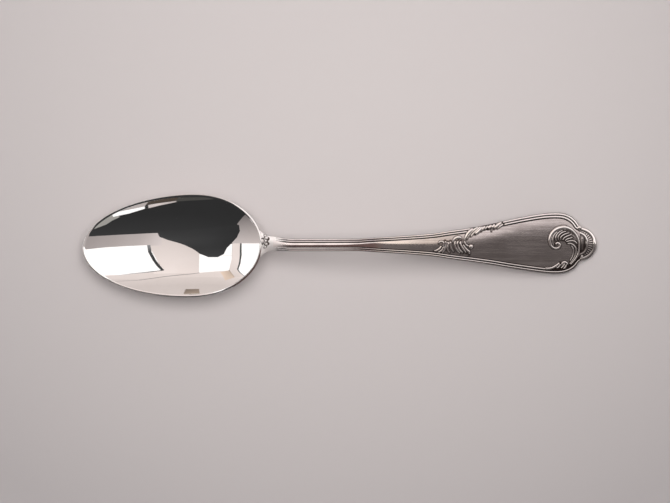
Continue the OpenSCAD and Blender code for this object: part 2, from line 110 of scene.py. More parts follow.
bowl = {
    "tipLength": 28.59, "heelLength": 19.2, "width": 27.44, "depth": 6.5, "bottom": 1.0,
    "rimWidth": 0.6, "rimThickness": 0.4, "rimCrown": 0.13, "tipDrop": 1.0, "heelRise": 0.8,
    "skew": 1.8, "heelSway": 0.4, "roundness": 2.5, "softMiddle": 0.22, "restShare": 0.12, "columns": 224,
    "insideShares": 1 - (1 - np.linspace(0.03, 1, 46)) ** 1.25, "rimShares": np.linspace(0.12, 1, 12),
    "outsideShares": 1 - (1 - np.linspace(1, 0.1, 44)) ** 1.4,
}
stemEnd = handle["neckLength"] + handle["stemLength"]
waist = stemEnd + handle["bladeLength"]
handleLength = waist + handle["shellLength"]
widestHeight = bowl["bottom"] + bowl["depth"]
heelHeight = widestHeight + bowl["heelRise"]
tipHeight = handle["bladeThickness"] - handle["footCut"]
archHeight = heelHeight + handle["archRise"]
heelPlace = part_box("end_shell")[1][0] - handleLength * mm


def placed(points):  # from millimetres at the heel to metres in the frame
    return np.asarray(points, float) * mm + np.array([heelPlace, middlePlace, 0.0])


def spineHeight(x):  # up the neck to the arch, then down to the tip
    run = handleLength - stemEnd
    climb = stemEnd * math.tan(math.radians(handle["neckPitch"]))
    fall = run * math.tan(math.radians(handle["tipPitch"]))
    rising = cubicStep(x / stemEnd, heelHeight, archHeight, climb, 0)
    falling = cubicStep((x - stemEnd) / run, archHeight, tipHeight, 0, -fall)
    return np.where(x < stemEnd, rising, falling)


def bladeShare(x):
    return (x - stemEnd) / handle["bladeLength"]


def sway(x):  # the blade's end leans to the leafed edge, and so does the neck
    u = bladeShare(x)
    blade = ramp(u, *handle["leanOut"]) - ramp(u, *handle["leanBack"]) / 2
    neckShare = 1 - ease(x / (handle["neckFade"] * handle["neckLength"]))
    return handle["bladeSway"] * blade + handle["neckSway"] * neckShare


def halfWidth(x):
    rootFlare = (handle["neckWidth"] - handle["stemWidth"]) / 2
    flare = rootFlare * (1 - np.clip(x / stemEnd, 0, 1)) ** handle["flarePower"]
    share = curveOf(handle["bladeShares"], np.clip(bladeShare(x), 0, 1))
    wide = mix(handle["stemWidth"], handle["bladeWidth"], share) / 2
    return np.where(x > stemEnd, wide, handle["stemWidth"] / 2 + flare)


# The stem's plain edge is what the solid's stem reaches to
stemPlaces = np.linspace(handle["neckLength"], stemEnd, 120)
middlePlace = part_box("stem")[0][1] - (sway(stemPlaces) - halfWidth(stemPlaces)).min() * mm


def threadWidth(x):
    return mix(handle["stemThreadWidth"], handle["bladeThreadWidth"], ease(bladeShare(x)))


def ledgeHeight(x):
    return spineHeight(x) - handle["panelCrown"] - handle["ledgeStep"]


def panelHeight(x, across):
    return spineHeight(x) - handle["panelCrown"] * across**2


def underHeight(x, across):  # rounded belly, cut level where the tip rests
    thinned = ease(bladeShare(x) * handle["thinning"])
    thickness = mix(handle["stemThickness"], handle["bladeThickness"], thinned)
    belly = thickness - handle["panelCrown"] - handle["ledgeStep"] - handle["edgeThickness"]
    fullness = 1 - np.abs(across) ** handle["bellyPower"]
    return np.maximum(0, ledgeHeight(x) - handle["edgeThickness"] - belly * fullness)


def grooved(x):  # nothing at the neck, one where the threads stand at their full height
    return ramp(x, handle["neckLength"], handle["grooveFade"])


def plainHeight(x, across):  # the neck's smooth back, which the threads grow out of
    return spineHeight(x) - (handle["panelCrown"] + handle["ledgeStep"]) * across**2


def rail(x, wayIn, side):  # a way in from the outline, square to it, on the ledge
    d = handle["bladeLength"] / 1000
    slope = np.where((x > stemEnd) & (x < waist - d), (halfWidth(x + d) - halfWidth(x - d)) / (2 * d), 0)
    unit = np.sqrt(1 + slope**2)
    at = x + wayIn * slope / unit
    out = halfWidth(x) - wayIn / unit
    z = mix(plainHeight(at, out / halfWidth(at)), ledgeHeight(at), grooved(at))
    return np.stack([at, side * out + sway(at), z], -1)


# Meshes

# Closed skin over rings of points: four-sided faces between rings, each end drawn to one point in a fan
def ringSkin(rings, firstPole=None, lastPole=None, marks=None):
    rings = np.asarray(rings, float)
    n, m, _ = rings.shape
    a = np.arange(n - 1)[:, None] * m + np.arange(m)
    b = np.arange(n - 1)[:, None] * m + (np.arange(m) + 1) % m
    quads = np.stack([a, b, b + m, a + m], -1).reshape(-1, 4)
    first = rings[0].mean(0) if firstPole is None else np.asarray(firstPole, float)
    last = rings[-1].mean(0) if lastPole is None else np.asarray(lastPole, float)
    k = np.arange(m)
    firstFan = np.stack([np.full(m, n * m), (k + 1) % m, k], -1)
    lastFan = np.stack([np.full(m, n * m + 1), (n - 1) * m + k, (n - 1) * m + (k + 1) % m], -1)
    points = np.concatenate([rings.reshape(-1, 3), first[None], last[None]])
    triangles = np.concatenate([firstFan, lastFan])
    cut = np.concatenate([quads[:, [0, 1, 2]], quads[:, [0, 2, 3]], triangles])
    volume = np.einsum("ij,ij->i", points[cut[:, 0]], np.cross(points[cut[:, 1]], points[cut[:, 2]])).sum()
    if volume < 0:
        quads, triangles = quads[:, ::-1], triangles[:, ::-1]
    if marks is None:
        values = np.zeros(len(points))
    else:
        marks = np.asarray(marks, float)
        values = np.concatenate([marks.reshape(-1), [marks[0].mean(), marks[-1].mean()]])
    return points, quads, triangles, values


def addObject(name, data):
    made = bpy.data.objects.new(name, data)
    bpy.context.scene.collection.objects.link(made)
    return made


def addMesh(name, points, faces, material):
    mesh = bpy.data.meshes.new(name)
    mesh.from_pydata(points, [], faces)
    mesh.materials.append(material)
    return addObject(name, mesh)


# One object from skins: the mark of each point goes into the attribute that its material reads
def addPiece(name, node, skins, material, sharpAngle=42):
    points, faces, values, start = [], [], [], 0
    for skinPoints, quads, triangles, marks in skins:
        points.append(skinPoints)
        values.append(marks)
        faces += (quads + start).tolist() + (triangles + start).tolist()
        start += len(skinPoints)
    piece = addMesh(name, placed(np.concatenate(points)), faces, material)
    mesh = piece.data
    mesh.polygons.foreach_set("use_smooth", np.ones(len(mesh.polygons), bool))
    mesh.set_sharp_from_angle(angle=math.radians(sharpAngle))
    mesh.attributes.new("height", "FLOAT", "POINT").data.foreach_set("value", np.concatenate(values))
    mesh.update()
    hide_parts(node)
    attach(piece, "root")


# Materials

def addNode(tree, kind):
    return tree.nodes.new("ShaderNode" + kind)


def feed(tree, socket, value):  # with a number, a colour or what another node gives
    if isinstance(value, tuple):
        socket.default_value = (*value, 1.0)
    elif isinstance(value, (int, float)):
        socket.default_value = value
    else:
        tree.links.new(value, socket)


def newGroup(name, inputs, outputs):
    group = bpy.data.node_groups.new(name, "ShaderNodeTree")
    for label, value in inputs.items():
        kind = "NodeSocketColor" if isinstance(value, tuple) else "NodeSocketFloat"
        feed(group, group.interface.new_socket(label, in_out="INPUT", socket_type=kind), value)
    for label in outputs:
        kind = "NodeSocketColor" if label == "Color" else "NodeSocketFloat"
        group.interface.new_socket(label, in_out="OUTPUT", socket_type=kind)
    given, out = group.nodes.new("NodeGroupInput"), group.nodes.new("NodeGroupOutput")
    return group, given.outputs, out.inputs


def addMath(tree, operation, a, b, clamp=False):
    node = addNode(tree, "Math")
    node.operation = operation
    node.use_clamp = clamp
    feed(tree, node.inputs[0], a)
    feed(tree, node.inputs[1], b)
    return node.outputs[0]


def addRange(tree, value, low, high, outLow=0.0, outHigh=1.0):
    node = addNode(tree, "MapRange")
    node.interpolation_type = "SMOOTHSTEP"
    labels = ("Value", "From Min", "From Max", "To Min", "To Max")
    for label, number in zip(labels, (value, low, high, outLow, outHigh)):
        feed(tree, node.inputs[label], number)
    return node.outputs["Result"]


def addPlace(tree):
    return addNode(tree, "TexCoord").outputs["Object"]


def addAlong(tree):  # the place along the spoon, in metres
    split = addNode(tree, "SeparateXYZ")
    feed(tree, split.inputs[0], addPlace(tree))
    return split.outputs["X"]


def addNoise(tree, scale, stretch=(1, 1, 1), detail=4.0, roughness=0.55):
    mapping = addNode(tree, "Mapping")
    mapping.inputs["Scale"].default_value = stretch
    feed(tree, mapping.inputs["Vector"], addPlace(tree))
    noise = addNode(tree, "TexNoise")
    sources = {"Detail": detail, "Roughness": roughness, "Vector": mapping.outputs["Vector"], "Scale": scale}
    for label, value in sources.items():
        feed(tree, noise.inputs[label], value)
    return noise.outputs["Fac"]


def addBlend(tree, factor, a, b):
    node = addNode(tree, "Mix")
    node.data_type = "RGBA"
    for place, value in ((0, factor), (6, a), (7, b)):
        feed(tree, node.inputs[place], value)
    return node.outputs[2]


tarnishForm = {"detail": 5, "cloudRange": (0.38, 0.68)}
wearForm = {
    "smudgeScale": 160.0, "smudgeDetail": 3, "smudgeRange": (0.4, 0.75),
    "lineStretches": ((90, 2600, 90), (1900, 420, 300), (700, 1700, 300)), "lineDetail": 2,
    "lineRange": (0.64, 0.72),
}
grainForm = {
    "thin": ((110, 5200, 600), 5, 0.7), "thinShare": 0.6, "broad": ((35, 1100, 200),), "broadShare": 0.4,
    "streakRange": (0.38, 0.62),
}


# Tarnish lies in the low places and in cloudy patches, and is rubbed off the high ones
# The same dark colour also paints the shade that some marks carry
def makeTarnishAndShade():
    inputs = {
        "Clean": (0.93, 0.91, 0.885), "Tarnish": (0.3, 0.25, 0.21), "Height": 1.0, "Low": 0.1, "High": 0.6,
        "Patches": 0.2, "Patch Scale": 220.0,
    }
    group, given, out = newGroup("silverTarnishAndShade", inputs, ["Color", "Amount"])
    cloud = addNoise(group, given["Patch Scale"], detail=tarnishForm["detail"])
    cloud = addRange(group, cloud, *tarnishForm["cloudRange"])
    patches = addMath(group, "MULTIPLY", cloud, given["Patches"])
    shade = addRange(group, given["Height"], given["Low"], given["High"], 1.0, 0.0)
    amount = addMath(group, "MAXIMUM", shade, patches, clamp=True)
    feed(group, out["Color"], addBlend(group, amount, given["Clean"], given["Tarnish"]))
    feed(group, out["Amount"], amount)
    return group


# Hairline scratches in three directions, and soft smudges
def makeWear():
    inputs = {"Base Roughness": 0.04, "Smudge": 0.04, "Scratch": 0.5}
    group, given, out = newGroup("handlingWear", inputs, ["Roughness", "Height"])
    smudge = addNoise(group, wearForm["smudgeScale"], detail=wearForm["smudgeDetail"])
    smudge = addMath(group, "MULTIPLY", addRange(group, smudge, *wearForm["smudgeRange"]), given["Smudge"])
    feed(group, out["Roughness"], addMath(group, "ADD", given["Base Roughness"], smudge))
    lines = None
    for stretch in wearForm["lineStretches"]:
        line = addNoise(group, 1.0, stretch, detail=wearForm["lineDetail"])
        line = addRange(group, line, *wearForm["lineRange"])
        lines = line if lines is None else addMath(group, "MAXIMUM", lines, line)
    feed(group, out["Height"], addMath(group, "MULTIPLY", lines, given["Scratch"]))
    return group


# Fine grain drawn out along the handle
def makeGrain():
    inputs = {"Base Roughness": 0.28, "Spread": 0.12, "Depth": 1.0}
    group, given, out = newGroup("brushedGrain", inputs, ["Roughness", "Height", "Streak"])
    thin = addMath(group, "MULTIPLY", addNoise(group, 1.0, *grainForm["thin"]), grainForm["thinShare"])
    broad = addMath(group, "MULTIPLY", addNoise(group, 1.0, *grainForm["broad"]), grainForm["broadShare"])
    both = addMath(group, "ADD", thin, broad)
    spread = addMath(group, "MULTIPLY", both, given["Spread"])
    feed(group, out["Roughness"], addMath(group, "ADD", given["Base Roughness"], spread))
    feed(group, out["Height"], addMath(group, "MULTIPLY", both, given["Depth"]))
    feed(group, out["Streak"], addRange(group, both, *grainForm["streakRange"]))
    return group


tarnishAndShadeGroup, wearGroup, grainGroup = makeTarnishAndShade(), makeWear(), makeGrain()


def newMaterial(name):
    material = bpy.data.materials.new(name)
    material.use_nodes = True
    return material, material.node_tree


def startMaterial(name, baseColour):
    material, tree = newMaterial(name)
    material.diffuse_color = (*baseColour, 1)
    shader = tree.nodes["Principled BSDF"].inputs
    shader["Metallic"].default_value = 1.0
    return material, tree, shader


def placeGroup(tree, group, **values):
    node = addNode(tree, "Group")
    node.node_tree = group
    for label, value in values.items():
        feed(tree, node.inputs[label.replace("_", " ")], value)
    return node.outputs


def addBump(tree, shader, height, distance):
    bump = addNode(tree, "Bump")
    for label, value in (("Strength", 1.0), ("Distance", distance), ("Height", height)):
        feed(tree, bump.inputs[label], value)
    feed(tree, shader["Normal"], bump.outputs["Normal"])


def heightMark(tree):
    node = addNode(tree, "Attribute")
    node.attribute_name = "height"
    return node.outputs["Fac"]


# Marks at or below the first of markRange are full tarnish, at or above the second none. Bumps are in metres
mirrorFinish = {
    "clean": (0.95, 0.93, 0.915), "tarnish": (0.66, 0.6, 0.53), "markRange": (0.1, 0.6), "patches": 0.1,
    "patchScale": 120.0, "roughness": 0.02, "smudge": 0.02, "scratch": 0.06, "bump": 0.000002,
}
# The relief's tarnish colour also paints the shade that its marks carry
reliefFinish = {
    "clean": (0.96, 0.905, 0.885), "tarnish": (0.085, 0.062, 0.057), "markRange": (0.2, 0.8),
    "patches": 0.08, "patchScale": 500.0, "roughness": 0.06, "smudge": 0.05, "scratch": 0.12,
    "dullness": 0.12, "bump": 0.000004,
}
# The handle's tarnish colour also paints the shade beside the ornament that its marks carry
handleFinish = {
    "stem": (0.96, 0.875, 0.85), "blade": (0.72, 0.66, 0.645), "streak": (0.52, 0.465, 0.455),
    "tarnish": (0.1, 0.076, 0.07), "markRange": (0.05, 0.95), "patches": 0.16, "patchScale": 150.0,
    "fadePlaces": (0.01, 0.03), "frostPlaces": (-0.0185, -0.0125), "frostRoughness": 0.25,
    "frostAmount": 0.42, "roughness": (0.1, 0.15), "spread": 0.12, "grainDepth": (0.85, 0.15),
    "bump": 0.00001,
}


def addTarnishAndShade(tree, finish, clean, height):
    low, high = finish["markRange"]
    return placeGroup(
        tree, tarnishAndShadeGroup, Clean=clean, Tarnish=finish["tarnish"], Height=height, Low=low, High=high,
        Patches=finish["patches"], Patch_Scale=finish["patchScale"],
    )


def addFrost(tree, shader, rough):  # the neck is frosted: rougher and paler, up to where the threads start
    frost = addRange(tree, addAlong(tree), *handleFinish["frostPlaces"], 1.0, 0.0)
    more = addMath(tree, "MULTIPLY", frost, handleFinish["frostRoughness"])
    feed(tree, shader["Roughness"], addMath(tree, "ADD", rough, more))
    paler = addMath(tree, "MULTIPLY", frost, handleFinish["frostAmount"])
    feed(tree, shader["Metallic"], addMath(tree, "SUBTRACT", 1.0, paler))


# Bright on the stem, darker and streaked along the blade, with tarnish and painted shade by the marks
def makeHandleSilver():
    material, tree, shader = startMaterial("handleSilver", handleFinish["blade"])
    place = addAlong(tree)
    along = addRange(tree, place, *handleFinish["fadePlaces"])
    rough = addRange(tree, place, *handleFinish["fadePlaces"], *handleFinish["roughness"])
    depth = addMath(tree, "MULTIPLY", along, handleFinish["grainDepth"][0])
    depth = addMath(tree, "ADD", depth, handleFinish["grainDepth"][1])
    grain = placeGroup(tree, grainGroup, Base_Roughness=rough, Spread=handleFinish["spread"], Depth=depth)
    panel = addBlend(tree, grain["Streak"], handleFinish["streak"], handleFinish["blade"])
    clean = addBlend(tree, along, handleFinish["stem"], panel)
    feed(tree, shader["Base Color"], addTarnishAndShade(tree, handleFinish, clean, heightMark(tree))["Color"])
    addFrost(tree, shader, grain["Roughness"])
    addBump(tree, shader, grain["Height"], handleFinish["bump"])
    return material


def makeWornSilver(name, finish, relief):  # relief gets tarnish and painted shade by its marks, dull where dark
    material, tree, shader = startMaterial(name, finish["clean"])
    tarnish = addTarnishAndShade(tree, finish, finish["clean"], heightMark(tree) if relief else 1.0)
    smudge, scratch = finish["smudge"], finish["scratch"]
    wear = placeGroup(tree, wearGroup, Base_Roughness=finish["roughness"], Smudge=smudge, Scratch=scratch)
    feed(tree, shader["Base Color"], tarnish["Color"])
    if relief:
        dull = addMath(tree, "MULTIPLY", tarnish["Amount"], finish["dullness"])
        addFrost(tree, shader, addMath(tree, "ADD", wear["Roughness"], dull))
    else:
        feed(tree, shader["Roughness"], wear["Roughness"])
    addBump(tree, shader, wear["Height"], finish["bump"])
    return material


mirrorSilver, handleSilver = makeWornSilver("mirrorSilver", mirrorFinish, False), makeHandleSilver()
reliefSilver = makeWornSilver("reliefSilver", reliefFinish, True)


def addRelief(name, node, skins):
    addPiece(name, node, skins, reliefSilver)


print("materials made")


# Bowl: an egg-shaped outline, long to the tip and short to the heel, with one smooth change between them

def softSize(share):  # like the plain size of a number, but rounded at zero
    soft = bowl["softMiddle"]
    return (np.sqrt(share**2 + soft**2) - soft) / (math.sqrt(1 + soft**2) - soft)


def alongBowl(share):
    middle = (bowl["tipLength"] + bowl["heelLength"]) / 2
    return middle * share - (bowl["tipLength"] - bowl["heelLength"]) / 2 * softSize(share)


def rimLift(share):  # the rim rises to the heel and drops to the tip
    rise, drop = bowl["heelRise"], bowl["tipDrop"]
    return (rise - drop) / 2 * share**2 + (rise + drop) / 2 * share * softSize(share)


def hollow(share):  # arc of a circle, from zero at the deepest place to one at the rim
    r = bowl["roundness"]
    return (r - np.sqrt(r**2 - share**2)) / (r - math.sqrt(r**2 - 1))


def bowlPoint(angle, share, inset, height):  # share of the way out to an outline drawn in from the rim
    outline = np.stack([alongBowl(np.cos(angle)), bowl["width"] / 2 * np.sin(angle)], -1)
    drawn = 1 - inset / np.linalg.norm(outline, axis=-1)
    x = alongBowl(share * np.cos(angle)) * drawn - bowl["heelLength"]
    y = share * bowl["width"] / 2 * np.sin(angle) * drawn
    turn = math.radians(bowl["skew"])
    turnedX = x * math.cos(turn) - y * math.sin(turn)
    turnedY = x * math.sin(turn) + y * math.cos(turn) + bowl["heelSway"]
    return np.stack([turnedX, turnedY, height + 0 * x], -1)


def insideHeight(angle, share):
    depth = bowl["depth"] - bowl["rimCrown"]
    return bowl["bottom"] + depth * hollow(share) + rimLift(share * np.cos(angle))


def outsideHeight(angle, share):  # level in the middle, where the bowl rests
    foot = hollow(bowl["restShare"])
    belly = np.maximum(0, hollow(share) - foot) / (1 - foot)
    return (widestHeight - bowl["rimThickness"] + rimLift(np.cos(angle))) * belly


# The rim is crowned at the heel, leans in further round, and is worn down on its outer half. The worn side
# starts its fall nearer the inside
rim = {
    "crown": 0.4, "lean": 1.2, "leanPlace": 0.7, "leanFade": 0.3, "edgeFall": (1.1, 0.7),
    "wornFall": (1.6, 0.45), "wornTurn": 2.2, "underShare": 0.6,
}


def rimFall(t, amount, start):
    return amount * max(0.0, (t - start) / (1 - start)) ** 2


def bowlRows():
    angle = np.arange(bowl["columns"]) / bowl["columns"] * 2 * math.pi
    rimTop = widestHeight + rimLift(np.cos(angle))
    lean = ease((rim["leanPlace"] - np.cos(angle)) / rim["leanFade"])
    worn = ease(-np.sin(angle) * rim["wornTurn"])
    rows = []
    for share in bowl["insideShares"]:
        rows.append(bowlPoint(angle, share, bowl["rimWidth"], insideHeight(angle, share)))
    for t in bowl["rimShares"]:
        fall = mix(rimFall(t, *rim["edgeFall"]), rimFall(t, *rim["wornFall"]), worn)
        drop = mix(rim["crown"] * (2 * t - 1) ** 2, (1 - t) ** rim["lean"] + fall, lean)
        rows.append(bowlPoint(angle, 1.0, bowl["rimWidth"] * (1 - t), rimTop - bowl["rimCrown"] * drop))
    rows.append(bowlPoint(angle, 1.0, 0.0, rimTop - bowl["rimThickness"] * rim["underShare"]))
    for share in bowl["outsideShares"]:
        rows.append(bowlPoint(angle, share, 0.0, outsideHeight(angle, share)))
    return np.stack(rows)


bowlRings = bowlRows()
deepest, lowest = (bowlPoint(np.array(0.0), 0.0, 0.0, np.array(z)) for z in (bowl["bottom"], 0.0))
bowlSkin = ringSkin(bowlRings, firstPole=deepest, lastPole=lowest, marks=np.ones(bowlRings.shape[:2]))
addPiece("bowlShell", "bowl", [bowlSkin], mirrorSilver)
print("bowl made")


# Ornament: tapered ribs that lie on the blade, half sunk in it

ornament = {
    "steps": 8, "around": 18, "capRadius": 0.05, "tipRadius": 0.001, "overThread": 0.7, "neckLift": 0.12,
    "ballRows": 18, "ballColumns": 28, "ballPole": 0.06, "ballClean": 0.25, "ballLift": 0.1,
    # How wide the painted shade beside a rib is, where it starts, its steps, and how dark it gets
    "shade": 0.42, "shadeStart": 0.05, "shadeSteps": 4, "groundMark": 0.12,
}


def hundredths(places):  # of a millimetre: the way from the heel, the way across, and the rib's radius
    return np.array(places) / 100


crossLeaves = [hundredths(rib) for rib in [
    [(4704, 32, 19), (4741, 85, 26), (4805, 80, 29), (4837, 16, 26), (4821, -48, 18)],
    [(4773, -21, 18), (4738, -85, 26), (4666, -138, 26), (4576, -165, 15)],
    [(4831, -43, 20), (4805, -117, 26), (4746, -170, 26), (4666, -202, 15)],
    [(4874, 101, 36), (4893, 27, 29), (4882, -59, 29), (4847, -144, 26), (4794, -210, 16)],
    [(4943, 85, 26), (4954, 5, 29), (4933, -85, 29), (4954, -157, 24), (4997, -208, 15)],
    [(5018, 96, 34), (5013, 0, 29), (5039, -96, 29), (5103, -186, 18)],
    [(5087, 48, 20), (5111, 133, 36), (5183, 189, 50), (5268, 186, 46), (5311, 133, 28)],
    [(5151, 107, 22), (5130, 27, 27), (5146, -64, 30), (5199, -154, 27), (5268, -224, 18)],
    [(5220, 112, 22), (5199, 32, 27), (5220, -64, 30), (5268, -149, 30), (5348, -224, 21)],
    [(5295, 101, 22), (5279, 32, 27), (5316, -48, 30), (5369, -128, 30), (5439, -213, 26)],
    [(5353, 11, 18), (5396, -69, 26), (5455, -133, 30), (5508, -186, 38), (5513, -250, 28)],
]]
edgeLeaves = [hundredths(rib) for rib in [
    [(5401, 80, 22), (5423, 186, 34), (5476, 288, 43), (5545, 367, 40), (5630, 437, 26)],
    [(5460, 149, 18), (5505, 250, 28), (5577, 336, 34), (5662, 405, 34), (5758, 474, 22)],
    [(5556, 218, 18), (5617, 293, 26), (5694, 367, 28), (5774, 437, 28), (5827, 485, 20)],
    [(5668, 282, 31), (5737, 336, 43), (5806, 405, 38), (5883, 487, 22)],
    [(5827, 357, 22), (5881, 426, 34), (5950, 501, 22)],
    [(5929, 405, 15), (5977, 458, 22), (6025, 511, 17)],
    [(6019, 421, 28), (6062, 474, 37), (6120, 533, 22)],
    [(6107, 357, 17), (6115, 421, 25), (6152, 485, 34), (6206, 549, 22)],
    [(6174, 421, 26), (6238, 485, 40), (6317, 554, 34), (6387, 597, 22)],
    [(6264, 426, 17), (6339, 490, 25), (6429, 554, 22)],
]]
scrollLeaves = [hundredths(rib) for rib in [
    [(7771, -27, 22), (7745, 69, 28), (7755, 181, 30), (7798, 282, 30), (7878, 357, 22)],
    [(7841, 96, 20), (7825, 181, 27), (7857, 272, 27), (7931, 346, 27), (8022, 383, 17)],
    [(7899, 122, 17), (7894, 202, 24), (7942, 282, 27), (8022, 336, 27), (8118, 362, 17)],
    [(7958, 128, 17), (7968, 202, 24), (8032, 261, 27), (8112, 298, 24), (8198, 325, 17)],
    [(8016, 122, 17), (8059, 186, 24), (8134, 229, 27), (8213, 261, 21), (8267, 298, 14)],
    [(8075, 107, 17), (8139, 154, 24), (8213, 176, 24), (8283, 202, 16)],
    [(8107, 80, 19), (8182, 99, 24), (8261, 109, 24), (8341, 85, 27), (8400, 21, 24)],
    [(8139, 32, 19), (8213, 37, 24), (8283, 5, 27), (8352, -69, 27), (8373, -170, 25), (8341, -304, 24),
    (8272, -421, 21), (8198, -517, 16)],
    [(8235, -16, 16), (8288, -91, 21), (8304, -197, 21), (8272, -320, 21), (8208, -431, 16)],
]]
scrollFoot = [hundredths(rib) for rib in [
    [(7537, -630, 26), (7697, -623, 28), (7819, -570, 30), (7942, -479, 26)],
    [(7984, -559, 20), (8006, -495, 28), (8059, -463, 34), (8123, -490, 28), (8155, -538, 20)],
    [(8064, -501, 20), (8032, -565, 24), (7968, -623, 17)],
    [(8112, -522, 20), (8091, -586, 24), (8038, -644, 17)],
    [(7953, -517, 17), (7921, -575, 22), (7851, -628, 15)],
]]
neckLeaf = [hundredths(rib) for rib in [
    [(10, 38, 30), (8, 75, 50), (12, 115, 52), (25, 155, 32)],
    [(75, 205, 25), (120, 185, 40), (160, 162, 42)],
    [(85, 10, 28), (120, 25, 40), (152, 33, 42)],
    [(70, 100, 20), (105, 105, 34), (130, 100, 28)],
    [(55, 260, 18), (95, 240, 28), (115, 230, 20)],
    [(60, -75, 16), (90, -55, 26), (115, -40, 20)],
]]
budStem = hundredths([(5396, 117, 24), (5399, 48, 27), (5444, -13, 27), (5508, -35, 24)])
bud = hundredths((5564, -45, 62))
scrollBand = hundredths([
    (7819, 11, 26), (7873, 48, 31), (7926, 16, 34), (7934, -48, 31), (7867, -91, 28), (7771, -83, 30),
    (7697, -16, 36), (7670, 91, 43), (7686, 208, 49), (7739, 314, 54), (7835, 402, 60), (7953, 450, 63),
    (8075, 460, 58), (8198, 420, 46), (8299, 352, 35), (8384, 245, 29), (8437, 117, 27), (8453, -27, 27),
    (8443, -170, 27), (8395, -309, 27), (8315, -426, 24), (8219, -527, 19),
])


def onHandle(places):  # on the panel, or over the threads beside it
    x, y, _ = places.T
    across = np.abs(y - sway(x)) / (halfWidth(x) - 2 * threadWidth(x))
    overThread = ledgeHeight(x) + ornament["overThread"] * handle["threadHeight"]
    return np.stack([x, y, np.where(across < 1, panelHeight(x, np.minimum(across, 1)), overThread)], -1)


def onNeck(places):
    x, y, _ = places.T
    return np.stack([x, y, spineHeight(np.maximum(0, x)) + ornament["neckLift"]], -1)


# Rib: an oval carried along a smooth path, its ends rounded off, its mark highest on the crest
def ribSkin(path, radii, flat=1.0, lift=0.0, clean=1.25, swell=1.0):
    index = np.arange(len(path))
    t = alongPath(len(path), ornament["steps"])
    path = smoothCurve(index, path, t)
    radius = smoothCurve(index, radii, t)[:, 0] * swell
    way = np.concatenate([[0], np.cumsum(np.linalg.norm(np.diff(path[:, :2], axis=0), axis=1))])
    fromEnd = np.minimum(way, way[-1] - way)
    cap = np.clip(fromEnd / np.maximum(radius, ornament["capRadius"]), 0, 1)
    least = ornament["tipRadius"]
    radius = radius * np.sqrt(np.clip(1 - (1 - cap) ** 2, 0.0, 1)) * (1 - least) + least
    tangent = np.gradient(path, axis=0)
    tangent /= np.linalg.norm(tangent[:, :2], axis=1)[:, None]
    side = np.stack([-tangent[:, 1], tangent[:, 0], np.zeros(len(path))], -1)
    angle = np.arange(ornament["around"]) / ornament["around"] * 2 * math.pi
    rings = (
        path[:, None] + side[:, None] * (radius[:, None] * np.cos(angle))[..., None]
        + np.array([0, 0, 1.0]) * (radius[:, None] * (np.sin(angle) * flat + lift))[..., None]
    )
    marks = np.repeat(np.clip(np.sin(angle) * clean, 0, 1)[None], len(path), 0)
    return ringSkin(rings, marks=marks)


def ribs(lists, placesOf=onHandle, **form):
    return [ribSkin(placesOf(s), s[:, 2], **form) for s in lists]


def ballSkin(centre, radius, flat=1.0):  # rows of latitude, round in plan
    pole = ornament["ballPole"]
    rows = np.linspace(pole, math.pi - pole, ornament["ballRows"])[:, None]
    angle = np.arange(ornament["ballColumns"]) / ornament["ballColumns"] * 2 * math.pi
    upright = np.cos(rows) + 0 * angle
    rings = np.stack([np.sin(rows) * np.cos(angle), np.sin(rows) * np.sin(angle), upright * flat], -1)
    marks = np.clip(upright + ornament["ballClean"], 0, 1)
    return ringSkin(rings * radius + np.asarray(centre), marks=marks)


budBall = ballSkin(onHandle(bud[None])[0] + np.array([0, 0, ornament["ballLift"]]), bud[2])
addRelief("crossFronds", "cross_leaves", ribs(crossLeaves, lift=0.15, clean=1.5))
addRelief("curledBud", "leaf_bud", ribs([budStem]) + [budBall])
addRelief("edgeFronds", "edge_leaves", ribs(edgeLeaves, lift=0.5, swell=1.12, clean=1.5))
addRelief("scrollCurve", "c_scroll", ribs([scrollBand], lift=0.12, clean=2.0))
addRelief("scrollAcanthus", "scroll_leaves", ribs(scrollLeaves, clean=0.68))
addRelief("footCurl", "scroll_foot", ribs(scrollFoot))
addRelief("neckLobes", "neck_leaf", ribs(neckLeaf, onNeck, flat=0.8, clean=1.2))
print("ornament made")


# How far each place is from the nearest rib, as a mark from dark beside it to one well clear
# The dark beside a rib is partly tarnish at its foot and partly painted shade
def clearOfRibs(x, y, lists, shade):
    dense = [smoothCurve(np.arange(len(s)), s, alongPath(len(s), ornament["shadeSteps"])) for s in lists]
    near = np.concatenate(dense)
    gap = np.hypot(x[..., None] - near[:, 0], y[..., None] - near[:, 1]) - near[:, 2]
    return mix(ornament["groundMark"], 1, ease((gap.min(-1) + ornament["shadeStart"]) / shade))


# Neck: a loft from the bowl's edge to the stem's end, whose flare dies away quickly

neck = {
    "span": 16.9, "rows": 70, "across": 81, "down": 9, "sink": 0.25, "topDrop": 0.05, "edgeSink": 0.1,
    "edgeShare": 0.4, "lowShare": 0.9, "flare": 2.3, "underFlare": 1.8, "sideTurn": 2.5, "shade": 0.22,
}


